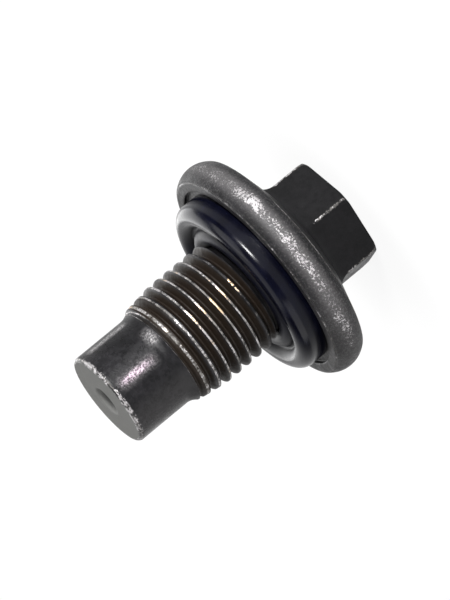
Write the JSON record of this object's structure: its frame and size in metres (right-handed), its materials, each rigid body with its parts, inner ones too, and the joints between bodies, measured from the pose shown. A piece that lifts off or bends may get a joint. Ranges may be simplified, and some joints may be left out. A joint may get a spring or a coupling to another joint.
{
  "type": "oil drain plug",
  "caption": "Threaded oil drain plug in blackened steel, with a hexagon head, a thick round flange, a moulded rubber sealing ring and a plain pilot.",
  "frame": {"origin": "centre of the head's end face, on which the plug stands", "axes": "+Z along the plug's axis, from the head to the tip of the pilot; +X through a corner of the hexagon"},
  "size_m": [0.0288, 0.0288, 0.0344],
  "materials": {
    "blackened_steel": "satin",
    "ring_rubber": "gloss"
  },
  "bodies": {
    "root": {"drain_plug": "blackened_steel", "sealing_ring": "ring_rubber"}
  },
  "joints": []
}
